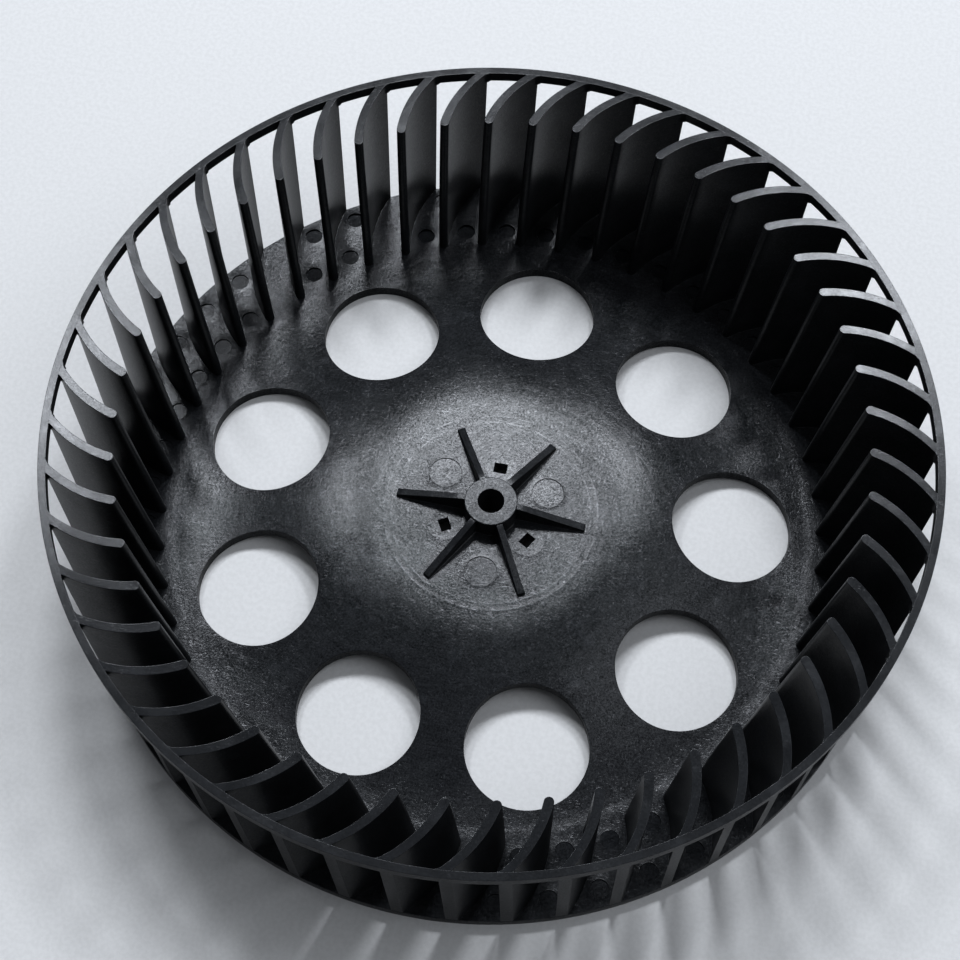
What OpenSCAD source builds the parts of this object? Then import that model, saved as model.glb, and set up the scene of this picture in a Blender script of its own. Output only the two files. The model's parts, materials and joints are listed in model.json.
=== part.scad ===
// Forward-curved blower wheel: fifty blades between a dished back plate and
// an inlet ring, with a ribbed hub that grips a 5 mm motor shaft.
// +Z is the spin axis and points out of the inlet. The origin is on the spin
// axis, level with the flat underside that the back plate stands on.

/* [Wheel] */
// Outer diameter of the inlet ring
wheel_d = 160; // [158:0.5:163]
// Height from the standing face to the inlet face
wheel_h = 40; // [30:0.5:60]

/* [Blades] */
// Number of blades round the wheel
blade_count = 50; // [40:1:50]
// Thickness of a blade
blade_t = 1.7; // [1.2:0.1:2]
// Radius of the blade's curve, to the middle of its thickness
blade_curve_r = 23.4; // [22.5:0.1:24.5]
// Distance from the spin axis to the centre of the blade's curve
blade_curve_pitch_r = 62.6; // [62:0.1:63.5]
// Angle from the first rib to the centre of the first blade's curve
blade_start_a = 2.9; // [0:0.1:7.1]
// Radius of the open eye at the inlet face
eye_r = 66.8; // [65.5:0.1:68]

/* [Inlet ring] */
// Radial thickness of the ring
ring_t = 1.4; // [1:0.1:2]
// Height of the ring along the spin axis
ring_h = 2.3; // [1.5:0.1:4]

/* [Back plate] */
// Wall thickness of the dish
plate_t = 2.3; // [1.6:0.1:2.7]
// Outer radius of the flange that the blades stand on
flange_r = 77.9; // [77:0.1:78.4]
// Inner radius of that flange, where the blades' feet end
flange_inner_r = 63.1; // [62:0.1:64]
// Height of the flange's top face, which is a small step above the dish
flange_z = 2.7; // [2.7:0.1:3.5]
// Radius where the dish has levelled out
dish_r = 58.5; // [56:0.5:61]
// Radius of the flat disc round the hub
disc_r = 22; // [20:0.5:26]
// Height of that disc's top face
disc_z = 7.2; // [5.5:0.1:8.5]

/* [Vents] */
// Number of vent holes
vent_count = 9; // [6:1:9]
// Diameter of a vent hole
vent_d = 23.2; // [18:0.1:26]
// Radius of the circle that the vent holes lie on
vent_pitch_r = 46.6; // [42:0.1:47]

/* [Hub] */
// Diameter of the shaft bore
bore_d = 5; // [4:0.5:6]
// Diameter of the boss
boss_d = 10.1; // [9:0.1:12]
// Length of the boss, which is the length of the bore
boss_l = 10; // [7:0.5:10.5]
// Height of the boss's front face
boss_z = 11.7; // [10.5:0.1:12.5]
// Number of ribs round the boss
rib_count = 6; // [3:3:6]
// Thickness of a rib
rib_t = 1.2; // [0.8:0.1:1.6]
// Radius that the ribs reach
rib_r = 18.4; // [15:0.1:20]
// Height of a rib's outer end above the disc
rib_end_h = 0.7; // [0.4:0.1:1.5]
// Number of small windows through the disc
window_count = 3; // [0:1:3]
// Radial width of a window
window_w = 2; // [1.5:0.1:3]
// Length of a window, across that width
window_l = 2.5; // [1.5:0.1:3.5]
// Radius of the circle that the windows lie on
window_pitch_r = 9.3; // [8.5:0.1:12]

/* [Hidden] */
$fn = 180;
blade_pitch_a = 360 / blade_count;
ring_inner_r = wheel_d / 2 - ring_t;
ring_z = wheel_h - ring_h;
boss_r = boss_d / 2;
rib_top_drop = 0.3;           // the ribs stop this far below the boss's face
rib_top_z = boss_z - rib_top_drop;
step_r = 62;                  // the step up to the flange starts here
dish_steps = 12;
first_hole_a = 90;            // angle of the first vent and the first window
cut = 1;                      // how far cutting tools run past a face
blade_sweep_a = [40, 115];    // reaches past the eye and past the ring

function blade_name(i) = str("blade_", i < 10 ? "0" : "", i);

// A dish line from height z0 at the disc to z1 at the rim, level at both ends.
function dish_line(z0, z1) = [
    for (i = [0:dish_steps])
        let (share = i / dish_steps)
        [disc_r + (dish_r - disc_r) * share, z0 + (z1 - z0) * (1 - cos(180 * share)) / 2]
];

// Half section of the back plate, from the boss out to the flange and back.
function plate_section() = concat(
    [[boss_r, disc_z]],
    dish_line(disc_z, plate_t),
    [
        [step_r, plate_t],
        [flange_inner_r, flange_z],
        [flange_r, flange_z],
        [flange_r, 0]
    ],
    reversed(dish_line(disc_z - plate_t, 0)),
    [[boss_r, disc_z - plate_t]]
);

function reversed(points) = [for (i = [len(points) - 1:-1:0]) points[i]];

module vent_holes() {
    for (i = [0:vent_count - 1])
        rotate(first_hole_a + i * 360 / vent_count)
            translate([vent_pitch_r, 0, -cut])
                cylinder(d = vent_d, h = disc_z + 2 * cut);
}

module windows() {
    for (i = [0:window_count - 1])
        rotate(first_hole_a + i * 360 / window_count)
            translate([window_pitch_r - window_w / 2, -window_l / 2, 0])
                cube([window_w, window_l, disc_z + cut]);
}

module back_plate() {
    color("#26282b")
        difference() {
            rotate_extrude() polygon(plate_section());
            vent_holes();
            if (window_count > 0) windows();
        }
}

module rim_ring() {
    color("#3a3c3f")
        translate([0, 0, ring_z])
            difference() {
                cylinder(r = wheel_d / 2, h = ring_h);
                translate([0, 0, -cut]) cylinder(r = ring_inner_r, h = ring_h + 2 * cut);
            }
}

module hub_boss() {
    color("#303236")
        translate([0, 0, boss_z - boss_l])
            difference() {
                cylinder(r = boss_r, h = boss_l);
                translate([0, 0, -cut]) cylinder(d = bore_d, h = boss_l + 2 * cut);
            }
}

// A tapered gusset standing on the disc, from the boss outwards. Its inner
// end is hollowed to the boss's own radius, so the two meet face to face.
module hub_rib(i) {
    color("#222428")
        rotate((i - 1) * 360 / rib_count)
            difference() {
                translate([0, rib_t / 2, 0])
                    rotate([90, 0, 0])
                        linear_extrude(rib_t)
                            polygon([
                                [0, disc_z],
                                [rib_r, disc_z],
                                [rib_r, disc_z + rib_end_h],
                                [boss_r, rib_top_z],
                                [0, rib_top_z]
                            ]);
                translate([0, 0, disc_z - cut]) cylinder(r = boss_r, h = wheel_h);
            }
}

// Room that a blade may fill, as a half section: a cone on the eye's side,
// the ring's inner wall, and a lean in to the flange's edge below the ring.
module blade_envelope() {
    rotate_extrude()
        polygon([
            [flange_inner_r, flange_z],
            [flange_r, flange_z],
            [ring_inner_r, ring_z],
            [ring_inner_r, wheel_h],
            [eye_r, wheel_h]
        ]);
}

module blade(i) {
    color("#2b2d30")
        intersection() {
            blade_envelope();
            rotate(blade_start_a + (i - 1) * blade_pitch_a)
                translate([blade_curve_pitch_r, 0, 0])
                    rotate_extrude(angle = blade_sweep_a[1] - blade_sweep_a[0], start = blade_sweep_a[0])
                        translate([blade_curve_r - blade_t / 2, flange_z - cut])
                            square([blade_t, wheel_h - flange_z + 2 * cut]);
        }
}

back_plate();
rim_ring();
hub_boss();
for (i = [1:rib_count])
    hub_rib(i);
for (i = [1:blade_count])
    blade(i);
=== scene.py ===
import json
import math
import random

import bmesh
import bpy
from mathutils import Matrix, Vector
from mathutils.geometry import delaunay_2d_cdt


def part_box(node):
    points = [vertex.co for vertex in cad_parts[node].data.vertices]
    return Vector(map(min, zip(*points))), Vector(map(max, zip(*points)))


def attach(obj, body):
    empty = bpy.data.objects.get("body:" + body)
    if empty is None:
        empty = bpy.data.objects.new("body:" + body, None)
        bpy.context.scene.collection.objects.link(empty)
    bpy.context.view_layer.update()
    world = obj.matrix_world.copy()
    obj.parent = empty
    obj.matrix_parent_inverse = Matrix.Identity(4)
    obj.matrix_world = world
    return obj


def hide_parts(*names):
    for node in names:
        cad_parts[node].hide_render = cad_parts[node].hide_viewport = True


# Looks of a forward-curved blower wheel. It is one black glass-filled moulding, lying inlet up.
# Lengths are in millimetres, measured from the CAD nodes where those give them, and angles in degrees.
MM = 0.001


def node_box(name):
    """Lowest and highest corner of a CAD node, in millimetres."""
    low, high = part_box(name)
    return low / MM, high / MM


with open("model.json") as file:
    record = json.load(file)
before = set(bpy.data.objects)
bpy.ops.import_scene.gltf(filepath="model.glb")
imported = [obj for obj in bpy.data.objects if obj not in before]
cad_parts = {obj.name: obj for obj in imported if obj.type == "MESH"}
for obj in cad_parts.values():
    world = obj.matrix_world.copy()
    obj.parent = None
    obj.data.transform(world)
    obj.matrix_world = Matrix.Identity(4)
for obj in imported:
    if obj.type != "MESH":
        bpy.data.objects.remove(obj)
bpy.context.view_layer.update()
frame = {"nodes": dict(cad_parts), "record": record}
ring_low, ring_high = node_box("rim_ring")
plate_high = node_box("back_plate")[1]
boss_low, boss_high = node_box("hub_boss")
rib_high = node_box("hub_rib_1")[1]
blade_names = sorted(n for n in frame["nodes"] if n.startswith("blade_"))
rib_names = sorted(n for n in frame["nodes"] if n.startswith("hub_rib_"))
rand = random.Random(7)

# Wheel and ring
WHEEL_R = ring_high.x
WHEEL_H = ring_high.z
RING_Z = ring_low.z
RING_T = 1.4
RING_INNER_R = WHEEL_R - RING_T

# Radius of the rounded edges, and how far from one a point on the flat face keeps that face shaded flat
EDGE_R = 0.05
HOLD = 0.05

# Back plate: a flat disc, a dish that falls to its rim, a soft step up, the blades' flange
PLATE_T = 2.3
DISC_Z = plate_high.z
DISC_R = 22.0
DISH_R = 58.5
RIM_Z = 2.6
STEP_R = 60.1
STEP_W = 3.0
STEP_LAG = 0.6
STEP_RETURN = 0.55
FLANGE_INNER_R = 63.1
FLANGE_R = plate_high.x
FLANGE_Z = 2.7
VENT_COUNT = 9
VENT_R = 11.6
VENT_PITCH_R = 46.6
WINDOW_COUNT = 3
WINDOW_W = 2.0
WINDOW_L = 2.5
WINDOW_PITCH_R = 9.3
FIRST_HOLE_A = 90.0

# Ejector-pin marks on the disc, as (radius, angle), with the outward lean of each one's floor
PIN_R = 3.1
PIN_DEPTH = 0.2
PIN_LIP = 0.008
PIN_SPOTS = ((11.7, 31.0), (12.0, 148.4), (12.8, 273.2))
PIN_LEANS = (0.012, -0.01, 0.008)

# Pin marks on the flange: two rows, as (radius, angle past the blade's tip), in nearly every gap
MARK_R = 1.75
MARK_DEPTHS = (0.2, 0.32)
MARK_LIP = 0.01
MARK_ROWS = ((66.6, 3.75), (74.7, 0.1))
MARK_ROW_LEANS = ((0.08, 0.16), (0.02, 0.1))
MARK_STRAY = 0.1
UNMARKED_GAPS = (13, 16)
MARK_WALL = 0.05

# Faint raised lines: a halo round each window, and two circles round the ribs as (radius, rise)
HALO_OFFSET = 0.2
HALO_W = 0.12
HALO_RISE = 0.006
WITNESS_CIRCLES = ((20.6, 0.004), (19.2, 0.002))
WITNESS_W = 0.1

# How strongly the plastic mirrors, on average and at least, where 0.5 is a plain dielectric
SHINE = 0.12
LEAST_SHINE = 0.02

# The plastic's mottle: how its glass dashes lie, the share of each pattern in it, and its height
DASH_STRETCHES = ((1.1, 3.6, 2.0), (3.4, 1.3, 2.0))
SPECKLE_SHARE = 4.0
DASH_SHARE = 1.1
CLOUD_SHARE = 1.4
BUMP_H = 0.04

# Upward part of the normal at which a face counts as upright, and as level
UPRIGHT_TO_LEVEL = (0.4, 0.9)

# Blades: an arc in plan, thicker at the eye than at the ring
BLADE_PITCH_A = 360 / len(blade_names)
BLADE_START_A = 2.9
BLADE_TIP_A = 20.25
ARC_R = 23.4
ARC_PITCH_R = 62.6
EYE_R = 66.8
BLADE_T_EYE = 1.84
BLADE_T_RING = 1.42
BLADE_TOP_Z = WHEEL_H - 0.01
FOOT_FILLET = 0.06
RING_FILLET = 0.4
FLARE_H = 0.6

# Hub
BOSS_R = boss_high.x
BORE_R = 2.5
RIB_R = rib_high.x
RIB_TOP_Z = rib_high.z
RIB_T = 1.2
RIB_DRAFT = 0.1
RIB_END_H = 0.7
RIB_CROWN = 1.6
RIB_SINK = 0.4
ROOT_FILLET = 0.15


def polar(radius, angle):
    """Point at that radius and angle in degrees, as a tuple."""
    a = math.radians(angle)
    return radius * math.cos(a), radius * math.sin(a)


def smoothstep(low, high, value):
    t = min(1.0, max(0.0, (value - low) / (high - low)))
    return t * t * (3 - 2 * t)


def round_off(depth, radius):
    """How far a rounded edge has fallen away at that distance inside it."""
    if depth >= radius:
        return 0.0
    return radius - math.sqrt(radius * radius - (radius - depth) ** 2)


# ---------------------------------------------------------------- materials


def add_node(tree, kind, settings=(), **inputs):
    """A shader node with its settings and inputs, where an input is a value or another socket."""
    made = tree.nodes.new(kind)
    for key, value in dict(settings).items():
        setattr(made, key, value)
    for key, value in inputs.items():
        socket = made.inputs[int(key[1:]) if key[1:].isdigit() else key.replace("_", " ")]
        if isinstance(value, bpy.types.NodeSocket):
            tree.links.new(value, socket)
        else:
            socket.default_value = value
    return made


def maths(tree, operation, a, b=0.0, c=0.0, clamp=False):
    settings = {"operation": operation, "use_clamp": clamp}
    return add_node(tree, "ShaderNodeMath", settings, i0=a, i1=b, i2=c).outputs[0]


def noise(tree, vector, scale, detail=3.0, roughness=0.55, distortion=0.0):
    made = add_node(
        tree, "ShaderNodeTexNoise", Vector=vector, Scale=scale, Detail=detail,
        Roughness=roughness, Distortion=distortion,
    )
    return made.outputs["Fac"]


def remap(tree, value, low, high, to_low=0.0, to_high=1.0):
    made = add_node(
        tree, "ShaderNodeMapRange", {"interpolation_type": "SMOOTHSTEP"},
        Value=value, From_Min=low, From_Max=high, To_Min=to_low, To_Max=to_high,
    )
    return made.outputs["Result"]


def mix_colour(tree, factor, a, b):
    made = add_node(tree, "ShaderNodeMix", {"data_type": "RGBA"}, i0=factor, i6=a, i7=b)
    return made.outputs[2]


def stretched(tree, vector, scale):
    made = add_node(tree, "ShaderNodeVectorMath", {"operation": "MULTIPLY"}, i0=vector, i1=scale)
    return made.outputs[0]


def swirl_coordinates(tree, vector, turns, along, across):
    """Coordinates that run round the spin axis and twist with the radius, for the melt's flow lines."""
    parts = add_node(tree, "ShaderNodeSeparateXYZ", i0=vector)
    x, y = parts.outputs[0], parts.outputs[1]
    squares = maths(tree, "ADD", maths(tree, "MULTIPLY", x, x), maths(tree, "MULTIPLY", y, y))
    radius = maths(tree, "SQRT", squares)
    angle = maths(tree, "ADD", maths(tree, "ARCTAN2", y, x), maths(tree, "MULTIPLY", radius, turns))
    c = maths(tree, "MULTIPLY", maths(tree, "COSINE", angle), along)
    s = maths(tree, "MULTIPLY", maths(tree, "SINE", angle), along)
    return add_node(
        tree, "ShaderNodeCombineXYZ", i0=c, i1=s, i2=maths(tree, "MULTIPLY", radius, across)
    ).outputs[0]


def minus_half(tree, value):
    return maths(tree, "SUBTRACT", value, 0.5)


def distance_in_plan(tree, place, point):
    """Distance of each place from an upright line through a point, in millimetres."""
    flat = stretched(tree, place, (1, 1, 0))
    made = add_node(tree, "ShaderNodeVectorMath", {"operation": "DISTANCE"}, i0=flat, i1=(*point, 0))
    return made.outputs["Value"]


def rubbed_marks(tree, place, spots, circles):
    """Paler scuffed spots, as (centre, radius, strength), and fine broken circles round the axis."""
    scratches = noise(tree, stretched(tree, place, (1.2, 2.4, 1.0)), 1.1, detail=4.0, distortion=1.4)
    scratches = remap(tree, scratches, 0.42, 0.62, 0.1, 1.0)
    ragged = minus_half(tree, noise(tree, place, 0.6, detail=3.0))
    total = 0.0
    for centre, radius, strength in spots:
        away = maths(tree, "MULTIPLY_ADD", ragged, 0.1 * radius, distance_in_plan(tree, place, centre))
        total = maths(tree, "ADD", total, remap(tree, away, radius * 0.92, radius, strength, 0.0))
    total = maths(tree, "MULTIPLY", total, scratches)
    broken = remap(tree, noise(tree, place, 0.3, detail=5.0, roughness=0.7), 0.44, 0.56)
    from_axis = distance_in_plan(tree, place, (0, 0))
    for radius in circles:
        off = maths(tree, "ABSOLUTE", maths(tree, "SUBTRACT", from_axis, radius))
        line = maths(tree, "MULTIPLY", remap(tree, off, 0.06, 0.2, 0.9, 0.0), broken)
        total = maths(tree, "ADD", total, line)
    return total


def plastic(
    name, dark, light, gloss, grain, side_gloss=0.34, side_shine=0.4,
    swirl=0.0, scuffs=0.0, spots=(), circles=(),
):
    """Black glass-filled plastic.

    dark and light are the two colours that its speckle runs between, and gloss is its mean roughness.
    Upright faces have the roughness side_gloss, and mirror side_shine times as strongly. grain is the
    strength of the speckle and swirl that of the flow lines round the axis. The paling strength is how
    much the faces that point up are made paler in patches: partly wear, partly a painted sheen that
    stands in for the light that level tops catch. spots and circles are what rubbed_marks takes.
    """
    material = bpy.data.materials.new(name)
    material.use_nodes = True
    tree = material.node_tree
    shader = tree.nodes["Principled BSDF"]
    coordinates = add_node(tree, "ShaderNodeTexCoord")
    place = stretched(tree, coordinates.outputs["Object"], (1 / MM,) * 3)
    facing_up = add_node(tree, "ShaderNodeSeparateXYZ", i0=coordinates.outputs["Normal"]).outputs[2]

    speckle = minus_half(tree, noise(tree, place, 2.8, detail=2.0, roughness=0.8))
    dashes = 0.0
    for stretch in DASH_STRETCHES:
        dash = noise(tree, stretched(tree, place, stretch), 1.0, detail=1.0, distortion=0.5)
        dashes = maths(tree, "ADD", dashes, remap(tree, dash, 0.56, 0.7))
    patches = noise(tree, place, 0.45, detail=4.0, roughness=0.7)
    dashes = maths(tree, "MULTIPLY", dashes, remap(tree, patches, 0.4, 0.62, 0.3, 1.0))
    clouds = minus_half(tree, noise(tree, place, 0.09, detail=5.0, roughness=0.6, distortion=0.6))
    blotches = remap(tree, noise(tree, place, 0.22, detail=4.0, roughness=0.65), 0.52, 0.72)

    mottle = maths(tree, "MULTIPLY", dashes, DASH_SHARE)
    mottle = maths(tree, "MULTIPLY_ADD", speckle, SPECKLE_SHARE, mottle)
    mottle = maths(tree, "MULTIPLY", mottle, grain)
    mottle = maths(tree, "MULTIPLY_ADD", clouds, CLOUD_SHARE, mottle)
    if swirl:
        streaks = swirl_coordinates(tree, place, 0.05, 9.0, 1.1)
        flow = noise(tree, streaks, 1.0, detail=4.0, distortion=0.8)
        mottle = maths(tree, "MULTIPLY_ADD", minus_half(tree, flow), swirl, mottle)
    # Painted sheen: faces that point up are painted paler in noisy patches, partly as wear and partly
    # in place of the light that level tops catch.
    if scuffs:
        worn_and_sheen = remap(tree, noise(tree, place, 0.16, detail=5.0, roughness=0.7), 0.5, 0.66)
        worn_and_sheen = maths(tree, "MULTIPLY", worn_and_sheen, remap(tree, facing_up, 0.8, 0.98, 0.0, scuffs))
        mottle = maths(tree, "ADD", mottle, worn_and_sheen)
    if spots or circles:
        mottle = maths(tree, "ADD", mottle, rubbed_marks(tree, place, spots, circles))

    tone = maths(tree, "MULTIPLY_ADD", blotches, 0.2, 0.3)
    tone = maths(tree, "MULTIPLY_ADD", mottle, 0.25, tone)
    rough = maths(tree, "MULTIPLY_ADD", clouds, 0.1, gloss)
    extra = remap(tree, facing_up, *UPRIGHT_TO_LEVEL, side_gloss - gloss, 0.0)
    rough = maths(tree, "ADD", rough, extra)
    shine = maths(tree, "MULTIPLY_ADD", mottle, SHINE, SHINE)
    shine = maths(tree, "MULTIPLY", shine, remap(tree, facing_up, *UPRIGHT_TO_LEVEL, side_shine, 1.0))
    height = maths(tree, "MULTIPLY_ADD", dashes, 0.25, speckle)

    colour = mix_colour(tree, maths(tree, "ADD", tone, 0.0, clamp=True), dark, light)
    bump = add_node(tree, "ShaderNodeBump", Strength=0.5 * grain, Distance=BUMP_H * MM, Height=height)
    tree.links.new(colour, shader.inputs["Base Color"])
    tree.links.new(maths(tree, "ADD", rough, 0.0, clamp=True), shader.inputs["Roughness"])
    tree.links.new(maths(tree, "MAXIMUM", shine, LEAST_SHINE), shader.inputs["Specular IOR Level"])
    tree.links.new(bump.outputs[0], shader.inputs["Normal"])
    return material


def colour_of(slot):
    """Base colour that the record gives a material slot."""
    entry = next(m for m in frame["record"]["materials"] if m["slot"] == slot)
    return entry["base_color"]


def tinted(colour, factor):
    return (*(c * factor for c in colour), 1.0)


def slot_plastic(slot, **options):
    base = colour_of(slot)
    return plastic(slot, tinted(base, 0.2), tinted(base, 1.6), **options)


RUBBED = [(polar(*spot), PIN_R, rub) for spot, rub in zip(PIN_SPOTS, (1.1, 0.6, 0.3))]
RUBBED.append((polar(WINDOW_PITCH_R + HALO_OFFSET, FIRST_HOLE_A), PIN_R, 0.6))
WITNESS_RADII = [radius for radius, _ in WITNESS_CIRCLES]
PLASTICS = {
    "plate_plastic": slot_plastic(
        "plate_plastic", gloss=0.21, grain=1.0, swirl=1.5, spots=RUBBED, circles=WITNESS_RADII
    ),
    # Ring and blade tops get paler patches where they face up: wear, and also painted sheen.
    "ring_plastic": slot_plastic("ring_plastic", gloss=0.19, grain=0.5, scuffs=0.5),
    "blade_plastic": slot_plastic("blade_plastic", gloss=0.17, grain=0.5, scuffs=0.5),
    "hub_plastic": slot_plastic("hub_plastic", gloss=0.24, grain=0.8),
}


# ---------------------------------------------------------------- meshes


def piece(name, vertices, faces, slot, replaced, sharp_above=38.0):
    """A closed piece from vertices in millimetres, which stands for CAD nodes and rides with them."""
    mesh = bpy.data.meshes.new(name)
    mesh.from_pydata([Vector(v) * MM for v in vertices], [], faces)
    work = bmesh.new()
    work.from_mesh(mesh)
    bmesh.ops.remove_doubles(work, verts=work.verts, dist=0.0005 * MM)
    bmesh.ops.recalc_face_normals(work, faces=work.faces)
    work.to_mesh(mesh)
    work.free()
    mesh.shade_smooth()
    mesh.set_sharp_from_angle(angle=math.radians(sharp_above))
    made = bpy.data.objects.new(name, mesh)
    bpy.context.scene.collection.objects.link(made)
    made.data.materials.append(PLASTICS[slot])
    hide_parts(*replaced)
    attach(made, "root")
    return made


def band_faces(first, second, closed=True):
    """Quads between two rows of vertex numbers of the same length."""
    count = len(first)
    last = count if closed else count - 1
    return [
        (first[i], first[(i + 1) % count], second[(i + 1) % count], second[i]) for i in range(last)
    ]


def lathe(profile, steps):
    """Vertices and faces of a closed profile of (radius, z) points turned about the spin axis."""
    vertices = []
    rows = []
    for radius, z in profile:
        rows.append(range(len(vertices), len(vertices) + steps))
        vertices += [(*polar(radius, 360 * i / steps), z) for i in range(steps)]
    faces = []
    for first, second in zip(rows, rows[1:] + rows[:1]):
        faces += band_faces(first, second)
    return vertices, faces


def rounded_corner(x, z, radius, start, steps=4):
    """Points of a quarter circle about (x, z) from the angle start on, turning anticlockwise.

    One more point on the straight line before it and after it keeps those two sides shaded flat.
    """
    arc = [polar(radius, start + 90 * i / steps) for i in range(steps + 1)]
    before, after = polar(HOLD, start - 90), polar(HOLD, start + 180)
    arc.insert(0, (arc[0][0] + before[0], arc[0][1] + before[1]))
    arc.append((arc[-1][0] + after[0], arc[-1][1] + after[1]))
    return [(x + dx, z + dz) for dx, dz in arc]


# Back plate


def dish(high, low, radius):
    """Height of a dish line that runs from high at the disc to low at the rim, level at both ends."""
    share = min(1.0, max(0.0, (radius - DISC_R) / (DISH_R - DISC_R)))
    return high + (low - high) * (1 - math.cos(math.pi * share)) / 2


def step_start(angle):
    """Radius where the soft step up to the flange begins.

    Between two blades it drifts outwards, and it comes back in at the next blade's foot.
    """
    share = ((angle - BLADE_START_A - BLADE_TIP_A) / BLADE_PITCH_A) % 1.0
    return STEP_R + STEP_LAG * (share - smoothstep(STEP_RETURN, 1.0, share))


def plate_top(x, y):
    radius = math.hypot(x, y)
    start = step_start(math.degrees(math.atan2(y, x)))
    return dish(DISC_Z, RIM_Z, radius) + (FLANGE_Z - RIM_Z) * smoothstep(start, start + STEP_W, radius)


def plate_bottom(x, y):
    return dish(DISC_Z - PLATE_T, 0.0, math.hypot(x, y))


class Sheet:
    """One face of the plate: points in plan with a height, joined into triangles round its holes."""

    def __init__(self, profile, side):
        self.profile = profile
        self.side = side
        self.points = []
        self.heights = []
        self.edges = []
        self.keep_out = []

    def add(self, x, y, rise):
        self.points.append(Vector((x, y)))
        self.heights.append(self.profile(x, y) + self.side * rise)

    def loop(self, outline, rise):
        start = len(self.points)
        for x, y in outline:
            self.add(x, y, rise)
        count = len(outline)
        self.edges += [(start + i, start + (i + 1) % count) for i in range(count)]

    def circle(self, centre, radius, rise, steps):
        self.loop(circle_points(centre, radius, steps), rise)

    def keep_clear(self, centre, radius):
        self.keep_out.append((centre, radius))

    def fill(self, low, high, spacing):
        """Loose points on rings between two radii, away from everything already drawn."""
        rings = max(1, round((high - low) / spacing))
        for k in range(1, rings):
            radius = low + (high - low) * k / rings
            count = round(2 * math.pi * radius / spacing)
            for i in range(count):
                x, y = polar(radius, 360 * (i + 0.5 * (k % 2)) / count)
                if all(math.hypot(x - c[0], y - c[1]) > r + spacing * 0.5 for c, r in self.keep_out):
                    self.add(x, y, 0.0)

    def mesh(self):
        points, _, faces, origins, _, _ = delaunay_2d_cdt(self.points, self.edges, [], 0, 1e-5)
        vertices = [(*p, self.heights[min(o)]) for p, o in zip(points, origins)]
        kept = []
        for face in faces:
            middle = sum((points[i] for i in face), Vector((0, 0))) / len(face)
            if not in_hole(middle):
                kept.append(tuple(face))
        return vertices, kept


def circle_points(centre, radius, steps):
    return [
        (centre[0] + dx, centre[1] + dy)
        for dx, dy in (polar(radius, 360 * i / steps) for i in range(steps))
    ]


VENT_CENTRES = [polar(VENT_PITCH_R, FIRST_HOLE_A + 360 * i / VENT_COUNT) for i in range(VENT_COUNT)]
WINDOW_ANGLES = [FIRST_HOLE_A + 360 * i / WINDOW_COUNT for i in range(WINDOW_COUNT)]
VENT_STEPS = 120
RING_STEPS = 360
HUB_STEPS = 96
PIN_STEPS = 64
MARK_STEPS = 28
WITNESS_STEPS = 240
STEP_STEPS = 720


def in_hole(point):
    if point.length < BOSS_R:
        return True
    if any((point - Vector(c)).length < VENT_R for c in VENT_CENTRES):
        return True
    for angle in WINDOW_ANGLES:
        local = Matrix.Rotation(-math.radians(angle), 2) @ point
        if abs(local.x - WINDOW_PITCH_R) < WINDOW_W / 2 and abs(local.y) < WINDOW_L / 2:
            return True
    return False


def window_outline(angle, grow):
    """A window's four sides with a few points on each, turned to its place on the disc."""
    half_w, half_l = WINDOW_W / 2 + grow, WINDOW_L / 2 + grow
    corners = [(-half_w, -half_l), (half_w, -half_l), (half_w, half_l), (-half_w, half_l)]
    outline = []
    for (x0, y0), (x1, y1) in zip(corners, corners[1:] + corners[:1]):
        for i in range(4):
            x, y = x0 + (x1 - x0) * i / 4, y0 + (y1 - y0) * i / 4
            turned = Matrix.Rotation(math.radians(angle), 2) @ Vector((WINDOW_PITCH_R + x, y))
            outline.append(tuple(turned))
    return outline


EDGE_DEPTHS = (0.0, 0.01, 0.025, EDGE_R, EDGE_R + HOLD)


def add_holes(sheet):
    """Rims of the vents, windows and outer edge, each one rounded off, and the plain hole for the boss.
    """
    for depth in EDGE_DEPTHS:
        drop = -round_off(depth, EDGE_R)
        for centre in VENT_CENTRES:
            sheet.circle(centre, VENT_R + depth, drop, VENT_STEPS)
        sheet.circle((0, 0), FLANGE_R - depth, drop, RING_STEPS)
    for centre in VENT_CENTRES:
        sheet.keep_clear(centre, VENT_R + EDGE_R + HOLD)
    for angle in WINDOW_ANGLES:
        for depth in (0.0, 0.02, EDGE_R, EDGE_R + HOLD):
            sheet.loop(window_outline(angle, depth), -round_off(depth, EDGE_R))
    sheet.circle((0, 0), BOSS_R, 0.0, HUB_STEPS)


def add_recess(sheet, centre, radius, depth, lean, lip, steps):
    """A round pin mark: a floor that may lean outwards, a short wall and a faint raised lip."""
    away = Vector(centre).normalized()
    for inset in (MARK_WALL * 2, MARK_WALL):
        for x, y in circle_points(centre, radius - inset, steps):
            sheet.add(x, y, -depth - lean * (Vector((x, y)) - Vector(centre)).dot(away))
    sheet.circle(centre, radius, lip, steps)
    sheet.circle(centre, radius + MARK_WALL, lip, steps)
    sheet.circle(centre, radius + MARK_WALL * 2.5, 0.0, steps)
    sheet.add(*centre, -depth)
    sheet.keep_clear(centre, radius + MARK_WALL * 3)


def add_ridge(sheet, centre, radius, half_width, rise, steps):
    """A faint raised circle with a sloping side each way."""
    sheet.circle(centre, radius - half_width, 0.0, steps)
    sheet.circle(centre, radius, rise, steps)
    sheet.circle(centre, radius + half_width, 0.0, steps)


def add_flange_marks(sheet):
    for gap in range(len(blade_names)):
        if gap in UNMARKED_GAPS:
            continue
        tip = BLADE_START_A + BLADE_TIP_A + BLADE_PITCH_A * gap
        for (radius, offset), leans in zip(MARK_ROWS, MARK_ROW_LEANS):
            stray = rand.uniform(-MARK_STRAY, MARK_STRAY)
            centre = polar(radius + stray, tip + offset + rand.uniform(-MARK_STRAY, MARK_STRAY))
            lean = rand.uniform(*leans)
            add_recess(sheet, centre, MARK_R, rand.uniform(*MARK_DEPTHS), lean, MARK_LIP, MARK_STEPS)


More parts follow.
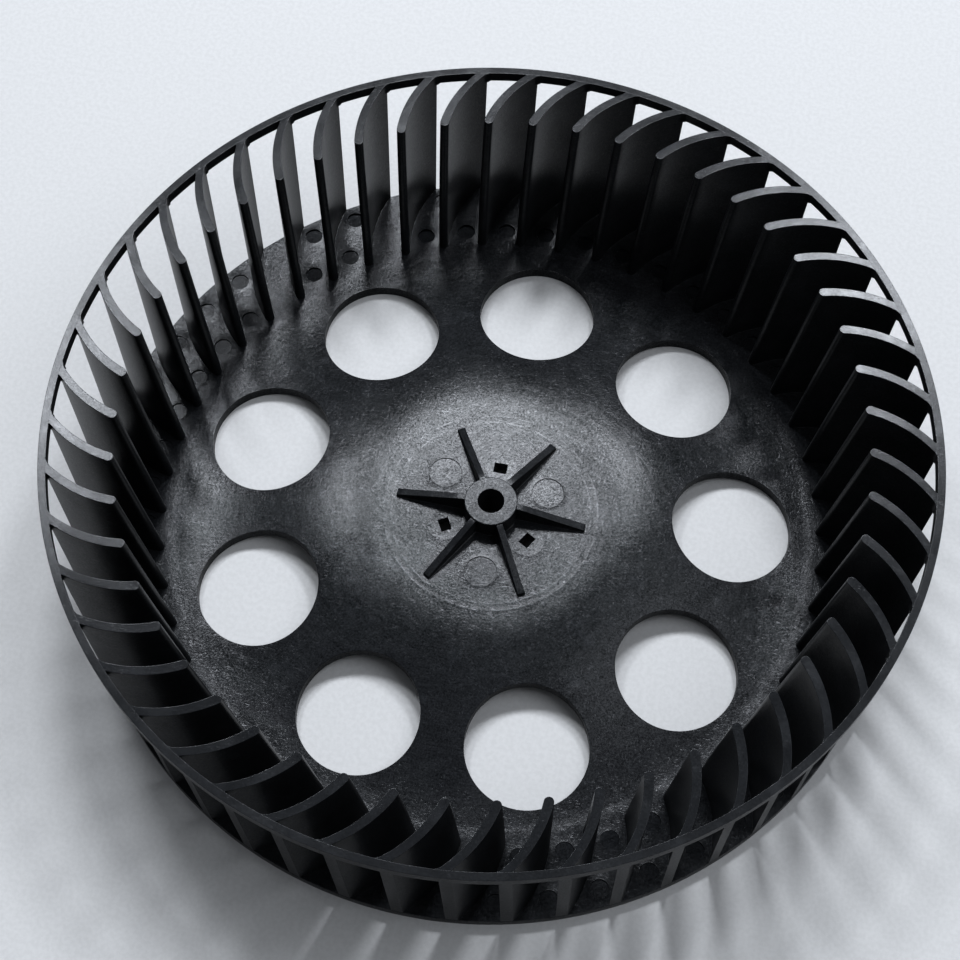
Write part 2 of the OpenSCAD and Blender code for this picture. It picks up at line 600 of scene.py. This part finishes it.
def top_sheet():
    sheet = Sheet(plate_top, 1)
    add_holes(sheet)
    for spot, lean in zip(PIN_SPOTS, PIN_LEANS):
        add_recess(sheet, polar(*spot), PIN_R, PIN_DEPTH, lean, PIN_LIP, PIN_STEPS)
    for angle in WINDOW_ANGLES:
        centre = polar(WINDOW_PITCH_R + HALO_OFFSET, angle)
        add_ridge(sheet, centre, PIN_R, HALO_W, HALO_RISE, PIN_STEPS)
        sheet.keep_clear(centre, PIN_R + 0.3)
    for radius, rise in WITNESS_CIRCLES:
        add_ridge(sheet, (0, 0), radius, WITNESS_W, rise, WITNESS_STEPS)
    sheet.circle((0, 0), DISC_R, 0.0, WITNESS_STEPS)
    add_flange_marks(sheet)
    sheet.fill(BOSS_R, WITNESS_RADII[1] - HALO_W, 1.2)
    sheet.fill(DISC_R, STEP_R, 1.4)
    for share in (0.0, 0.2, 0.4, 0.6, 0.8, 1.0):
        for angle in (360 * i / STEP_STEPS for i in range(STEP_STEPS)):
            sheet.add(*polar(step_start(angle) + share * STEP_W, angle), 0.0)
    sheet.fill(STEP_R + STEP_LAG + STEP_W, FLANGE_R - EDGE_R, 1.8)
    return sheet.mesh()


def bottom_sheet():
    sheet = Sheet(plate_bottom, -1)
    add_holes(sheet)
    for radius in (DISC_R, DISH_R):
        sheet.circle((0, 0), radius, 0.0, RING_STEPS)
    for low, high in ((BOSS_R, DISC_R), (DISC_R, DISH_R), (DISH_R, FLANGE_R - EDGE_R)):
        sheet.fill(low, high, 1.8)
    return sheet.mesh()


def plate_walls():
    """The walls that join the plate's two faces, at each hole and round the edge."""
    outlines = [circle_points(c, VENT_R, VENT_STEPS) for c in VENT_CENTRES]
    outlines += [window_outline(angle, 0.0) for angle in WINDOW_ANGLES]
    outlines.append(circle_points((0, 0), BOSS_R, HUB_STEPS))
    outlines.append(circle_points((0, 0), FLANGE_R, RING_STEPS))
    vertices, faces = [], []
    for k, outline in enumerate(outlines):
        drop = 0.0 if k == VENT_COUNT + WINDOW_COUNT else EDGE_R
        rows = []
        for share in (0.0, 0.33, 0.67, 1.0):
            rows.append(range(len(vertices), len(vertices) + len(outline)))
            for x, y in outline:
                top, bottom = plate_top(x, y) - drop, plate_bottom(x, y) + drop
                vertices.append((x, y, top + (bottom - top) * share))
        for first, second in zip(rows, rows[1:]):
            faces += band_faces(first, second)
    return vertices, faces


def joined(*parts):
    """Several (vertices, faces) lists as one."""
    vertices, faces = [], []
    for some, shapes in parts:
        start = len(vertices)
        vertices += some
        faces += [tuple(start + i for i in face) for face in shapes]
    return vertices, faces


def make_back_plate():
    vertices, faces = joined(top_sheet(), bottom_sheet(), plate_walls())
    return piece("back_plate_moulded", vertices, faces, "plate_plastic", ["back_plate"], 30.0)


# Inlet ring


def make_rim_ring():
    inner, outer, edge = RING_INNER_R, WHEEL_R, EDGE_R
    profile = (
        rounded_corner(outer - edge, WHEEL_H - edge, edge, 0)
        + rounded_corner(inner + edge, WHEEL_H - edge, edge, 90)
        + rounded_corner(inner + edge, RING_Z + edge, edge, 180)
        + rounded_corner(outer - edge, RING_Z + edge, edge, 270)
    )
    vertices, faces = lathe(profile, 720)
    return piece("rim_ring_moulded", vertices, faces, "ring_plastic", ["rim_ring"])


# Blades


def arc_angle(radius, arc=ARC_R):
    """Angle along an arc about the blade's curve centre at which it is that far from the spin axis."""
    gap = radius * radius - ARC_PITCH_R ** 2 - arc ** 2
    return math.degrees(math.acos(gap / (2 * ARC_PITCH_R * arc)))


def blade_thickness(radius):
    share = (radius - FLANGE_INNER_R) / (RING_INNER_R - FLANGE_INNER_R)
    return BLADE_T_EYE + (BLADE_T_RING - BLADE_T_EYE) * min(1.0, max(0.0, share))


SIDE_STEPS = 18
END_STEPS = 9


def blade_outline(z, grow):
    """Closed outline of a blade in plan at a height, made larger all round by grow.

    It runs along the convex side from the ring to the eye, round the end and back. A fillet to the
    ring grows as it nears the ring, inside which the outline runs on into the ring's wall.
    """
    up = (z - FLANGE_Z) / (WHEEL_H - FLANGE_Z)
    inner = FLANGE_INNER_R + (EYE_R - FLANGE_INNER_R) * up
    outer = FLANGE_R + (RING_INNER_R - FLANGE_R) * min(1.0, (z - FLANGE_Z) / (RING_Z - FLANGE_Z))
    flare = smoothstep(RING_Z - FLARE_H, RING_Z, z)
    end_half = blade_thickness(inner) / 2 + grow
    inner_angle = arc_angle(inner - min(grow, 0.0) + end_half * 0.94)
    outer_half = blade_thickness(outer) / 2 + grow
    sides = []
    for side in (1, -1):
        outer_angle = arc_angle(outer, ARC_R + side * outer_half)
        line = []
        for k in range(SIDE_STEPS + 1):
            angle = outer_angle + (inner_angle - outer_angle) * (k / SIDE_STEPS) ** 1.6
            if k == 0 and z >= RING_Z:
                angle = arc_angle(outer + RING_T * 0.4, ARC_R + side * outer_half)
            cx, cy = polar(ARC_R, angle)
            half = blade_thickness(math.hypot(ARC_PITCH_R + cx, cy)) / 2 + grow
            x, y = polar(ARC_R + side * half, angle)
            to_wall = max(0.0, RING_INNER_R - math.hypot(ARC_PITCH_R + x, y))
            x, y = polar(ARC_R + side * (half + flare * round_off(to_wall, RING_FILLET)), angle)
            line.append((ARC_PITCH_R + x, y))
        sides.append(line)
    ex, ey = polar(ARC_R, inner_angle)
    end = []
    for k in range(1, END_STEPS):
        dx, dy = polar(end_half, inner_angle + 180 * k / END_STEPS)
        end.append((ARC_PITCH_R + ex + dx, ey + dy))
    return sides[0] + end + sides[1][::-1]


def blade_levels():
    """(height, grow) of each row of a blade: a fillet at the foot, the wall, a rounded top."""
    levels = []
    for k in range(6):
        angle = math.radians(90 * k / 5)
        levels.append((
            FLANGE_Z + FOOT_FILLET * (1 - math.cos(angle)),
            FOOT_FILLET * (1 - math.sin(angle)),
        ))
    foot, neck, top = FLANGE_Z + FOOT_FILLET, RING_Z - FLARE_H, BLADE_TOP_Z
    levels += [(foot + (neck - foot) * k / 6, 0.0) for k in range(1, 7)]
    levels += [(z, 0.0) for z in (RING_Z - 0.4, RING_Z - 0.2, RING_Z - 0.001, RING_Z)]
    levels.append((top - EDGE_R - HOLD, 0.0))
    for k in range(4):
        angle = math.radians(90 * k / 3)
        levels.append((top - EDGE_R * (1 - math.sin(angle)), -EDGE_R * (1 - math.cos(angle))))
    levels.append((top, -EDGE_R - HOLD))
    return levels


def make_blade(name, turn):
    vertices, rows = [], []
    turned = Matrix.Rotation(math.radians(turn), 2)
    for z, grow in blade_levels():
        outline = blade_outline(z, grow)
        rows.append(range(len(vertices), len(vertices) + len(outline)))
        vertices += [(*(turned @ Vector(p)), z) for p in outline]
    faces = []
    for first, second in zip(rows, rows[1:]):
        faces += band_faces(first, second)
    last = len(rows[0]) - 1
    for row in (rows[0], rows[-1]):
        for k in range(SIDE_STEPS):
            faces.append((row[k], row[k + 1], row[last - k - 1], row[last - k]))
        faces.append(tuple(row[SIDE_STEPS:last - SIDE_STEPS + 1]))
    return piece(f"{name}_moulded", vertices, faces, "blade_plastic", [name])


# Hub


def make_boss():
    edge, lead, brink = 0.16, 0.2, 0.06
    top, bottom = boss_high.z, boss_low.z
    profile = rounded_corner(BORE_R + lead, bottom + lead, lead, 180)
    profile += rounded_corner(BOSS_R - edge, bottom + edge, edge, 270)
    profile.append((BOSS_R, DISC_Z - 0.05))
    for k in range(6):
        angle = math.radians(90 * k / 5)
        profile.append((
            BOSS_R + ROOT_FILLET * (1 - math.sin(angle)),
            DISC_Z + ROOT_FILLET * (1 - math.cos(angle)),
        ))
    profile += rounded_corner(BOSS_R - edge, top - edge, edge, 0)
    profile += rounded_corner(BORE_R + brink, top - brink, brink, 90)
    vertices, faces = lathe(profile, HUB_STEPS)
    return piece("hub_boss_moulded", vertices, faces, "hub_plastic", ["hub_boss"], 50.0)


def rib_top(x):
    """Height of a rib's top: level by the boss, then a straight fall to its end."""
    slope = (RIB_TOP_Z - DISC_Z - RIB_END_H) / (RIB_R - BOSS_R - RIB_CROWN / 2)
    run = x - BOSS_R
    if run < RIB_CROWN:
        return RIB_TOP_Z - slope * run * run / (2 * RIB_CROWN)
    return RIB_TOP_Z - slope * (run - RIB_CROWN / 2)


def rib_half_width(height, top):
    """Half the rib's width at a height above the disc: a fillet at the root, draft, a rounded top."""
    draft = RIB_DRAFT * (1 - height / (RIB_TOP_Z - DISC_Z))
    root = round_off(height, ROOT_FILLET)
    edge = round_off(max(0.0, top - height), EDGE_R)
    return RIB_T / 2 + draft + root - edge


def make_rib(name, turn):
    """Rows of points up one side, over the top and down the other, at stations along the rib.

    It starts inside the boss. Its outer end drops away over the last two stations.
    """
    turned = Matrix.Rotation(math.radians(turn), 2)
    start, end = BOSS_R + 0.3, RIB_R - 0.15
    stations = [(BOSS_R - RIB_SINK, 0.0), (BOSS_R, 0.0), (start, 0.0)]
    stations += [(start + (end - start) * k / 14, 0.0) for k in range(1, 15)]
    stations += [(RIB_R - 0.05, 0.04), (RIB_R, 0.15)]
    vertices, rows = [], []
    for x, drop in stations:
        top = rib_top(max(x, BOSS_R)) - DISC_Z - drop
        wall = top - ROOT_FILLET - EDGE_R
        heights = [ROOT_FILLET * share for share in (0.0, 0.1, 0.3, 0.6, 1.0)]
        heights += [ROOT_FILLET + wall * 0.5]
        heights += [top - EDGE_R * share for share in (1.0, 0.6, 0.3, 0.0)]
        side = [(x, rib_half_width(h, top), DISC_Z + h) for h in heights]
        side.append((x, rib_half_width(top, top) - HOLD, DISC_Z + top))
        section = side + [(x, -y, z) for x, y, z in reversed(side)]
        rows.append(range(len(vertices), len(vertices) + len(section)))
        vertices += [(*(turned @ Vector((x, y))), z) for x, y, z in section]
    faces = []
    for first, second in zip(rows, rows[1:]):
        faces += band_faces(first, second)
    count = len(rows[0])
    for row in (rows[0], rows[-1]):
        for k in range(count // 2 - 1):
            faces.append((row[k], row[k + 1], row[count - k - 2], row[count - k - 1]))
    return piece(f"{name}_moulded", vertices, faces, "hub_plastic", [name])


make_back_plate()
make_rim_ring()
make_boss()
for k, name in enumerate(rib_names):
    make_rib(name, 360 / len(rib_names) * k)
for k, name in enumerate(blade_names):
    make_blade(name, BLADE_START_A + BLADE_PITCH_A * k)


# ---------------------------------------------------------------- studio

FLOOR_SHADES = ((0.52, 0.516, 0.507, 1.0), (0.56, 0.556, 0.548, 1.0))
FLOOR_SIZE = 12
SKY_COLOUR = (0.82, 0.87, 0.95, 1.0)
SKY_STRENGTH = 0.2
LAMP_COLOUR = (0.95, 1.0, 1.08)

# Lamps, as azimuth, elevation, distance and diameter in metres, and power in watts. The three keys
# stand behind the wheel, where its level faces mirror them to the camera.
LAMPS = {
    "key_right": (75.5, 55.8, 0.9, 0.13, 2.9),
    "key_left": (134, 58.3, 0.9, 0.13, 2.4),
    "key_middle": (102.4, 60.5, 1.2, 0.24, 7.5),
    "fill": (5, 60, 1.2, 0.8, 4),
}


def make_floor():
    material = bpy.data.materials.new("pale_floor")
    material.use_nodes = True
    tree = material.node_tree
    shader = tree.nodes["Principled BSDF"]
    place = stretched(tree, add_node(tree, "ShaderNodeTexCoord").outputs["Object"], (1 / MM,) * 3)
    fleck = noise(tree, place, 1.2, detail=2.0)
    shade = remap(tree, fleck, 0.3, 0.7)
    tree.links.new(mix_colour(tree, shade, *FLOOR_SHADES), shader.inputs["Base Color"])
    shader.inputs["Roughness"].default_value = 0.8
    shader.inputs["Specular IOR Level"].default_value = 0.2
    bpy.ops.mesh.primitive_plane_add(size=FLOOR_SIZE)
    floor = bpy.context.object
    floor.name = "floor"
    floor.data.materials.append(material)


def aim(thing, at, target, roll=0.0):
    """Puts a lamp or the camera at a point and turns it to face another."""
    thing.location = at
    facing = (Vector(target) - Vector(at)).to_track_quat("-Z", "Y")
    thing.rotation_mode = "QUATERNION"
    thing.rotation_quaternion = facing @ Matrix.Rotation(math.radians(roll), 3, "Z").to_quaternion()


def direction(azimuth, elevation):
    """Unit vector at an azimuth from +X and an elevation above the horizon."""
    x, y = polar(math.cos(math.radians(elevation)), azimuth)
    return Vector((x, y, math.sin(math.radians(elevation))))


def make_lamp(name, azimuth, elevation, distance, size, power):
    lamp = bpy.data.lights.new(name, "AREA")
    lamp.shape = "DISK"
    lamp.size = size
    lamp.energy = power
    lamp.color = LAMP_COLOUR
    made = bpy.data.objects.new(name, lamp)
    bpy.context.scene.collection.objects.link(made)
    aim(made, direction(azimuth, elevation) * distance, (0, 0, 0.02))


# Camera: its place from the middle of the inlet, the point in the inlet's plane that it faces, its lens
CAMERA_AZIMUTH = -79.35
CAMERA_ELEVATION = 62.894
CAMERA_DISTANCE = 0.3418
CAMERA_AIM = (1.41 * MM, -9.27 * MM)
CAMERA_ROLL = 1.122
CAMERA_LENS = 72.42
CAMERA_SHIFT = (-0.00994, 0.00077)


def make_camera():
    data = bpy.data.cameras.new("camera")
    data.sensor_width = 36
    data.lens = CAMERA_LENS
    data.shift_x, data.shift_y = CAMERA_SHIFT
    data.clip_start, data.clip_end = 0.01, 50
    camera = bpy.data.objects.new("camera", data)
    bpy.context.scene.collection.objects.link(camera)
    inlet = Vector((0, 0, WHEEL_H * MM))
    place = inlet + direction(CAMERA_AZIMUTH, CAMERA_ELEVATION) * CAMERA_DISTANCE
    aim(camera, place, (*CAMERA_AIM, WHEEL_H * MM), CAMERA_ROLL)
    bpy.context.scene.camera = camera


def make_world():
    world = bpy.data.worlds.new("studio")
    world.use_nodes = True
    back = world.node_tree.nodes["Background"]
    back.inputs["Color"].default_value = SKY_COLOUR
    back.inputs["Strength"].default_value = SKY_STRENGTH
    bpy.context.scene.world = world


make_floor()
make_world()
for name, setting in LAMPS.items():
    make_lamp(name, *setting)
make_camera()
bpy.context.scene.view_settings.view_transform = "Standard"
